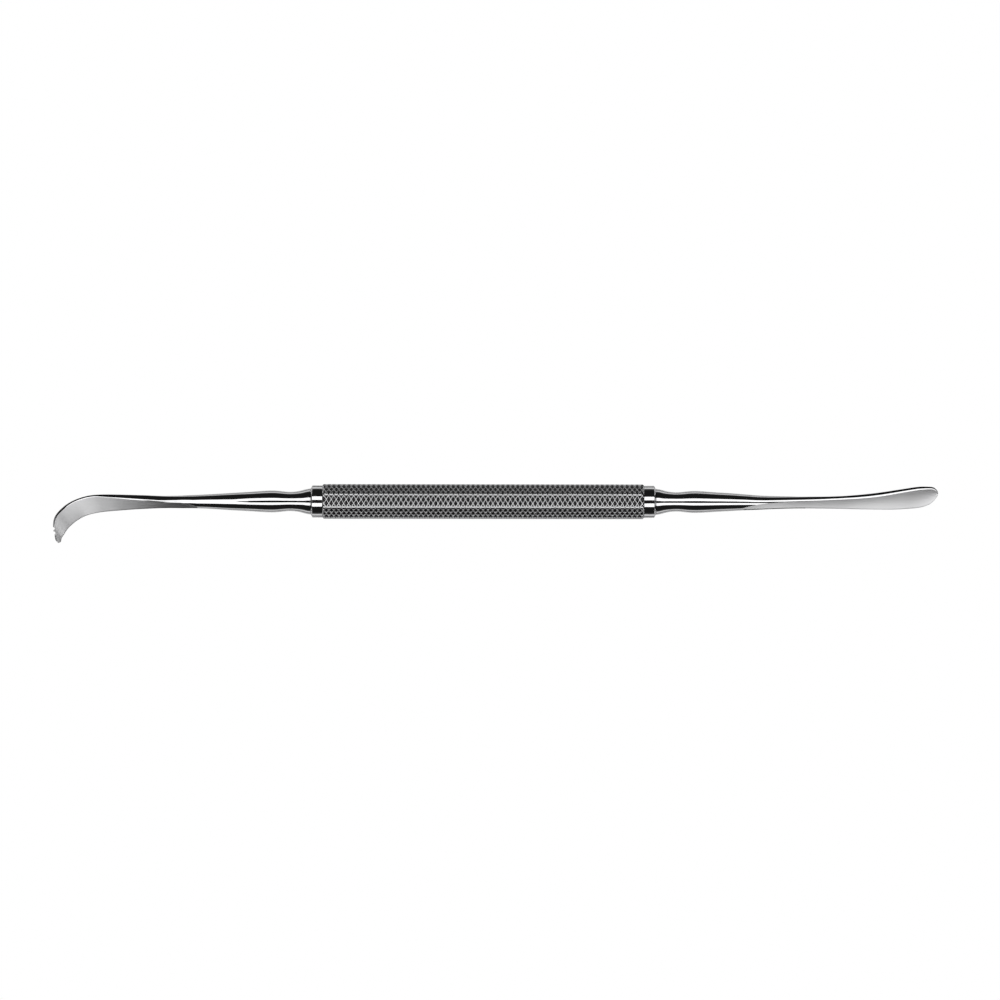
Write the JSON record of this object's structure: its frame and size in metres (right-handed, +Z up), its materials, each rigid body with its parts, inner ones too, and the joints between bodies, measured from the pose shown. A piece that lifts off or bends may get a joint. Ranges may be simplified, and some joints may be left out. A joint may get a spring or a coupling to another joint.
{
  "type": "clay modeling tool",
  "caption": "Slim double-ended steel tool for trimming and smoothing clay: a curved hook, a knurled eight-sided handle and a narrow leaf spatula.",
  "frame": {"origin": "middle of the flat of the handle that the tool lies on", "axes": "+X along the tool towards the spatula, +Y towards the polished backs of both blades and away from the hook's point, +Z up through the handle"},
  "size_m": [0.1779, 0.0118, 0.0069],
  "materials": {
    "knurled_steel": "diamond-knurled, bright ridges and dark pits",
    "turned_steel": "turned and polished",
    "forged_steel": "mirror-polished shank and back, satin ground face"
  },
  "bodies": {
    "root": {"handle_sleeve": "knurled_steel", "hook_end_collar": "turned_steel", "spatula_end_collar": "turned_steel", "hook_tip": "forged_steel", "spatula_tip": "forged_steel"}
  },
  "joints": []
}
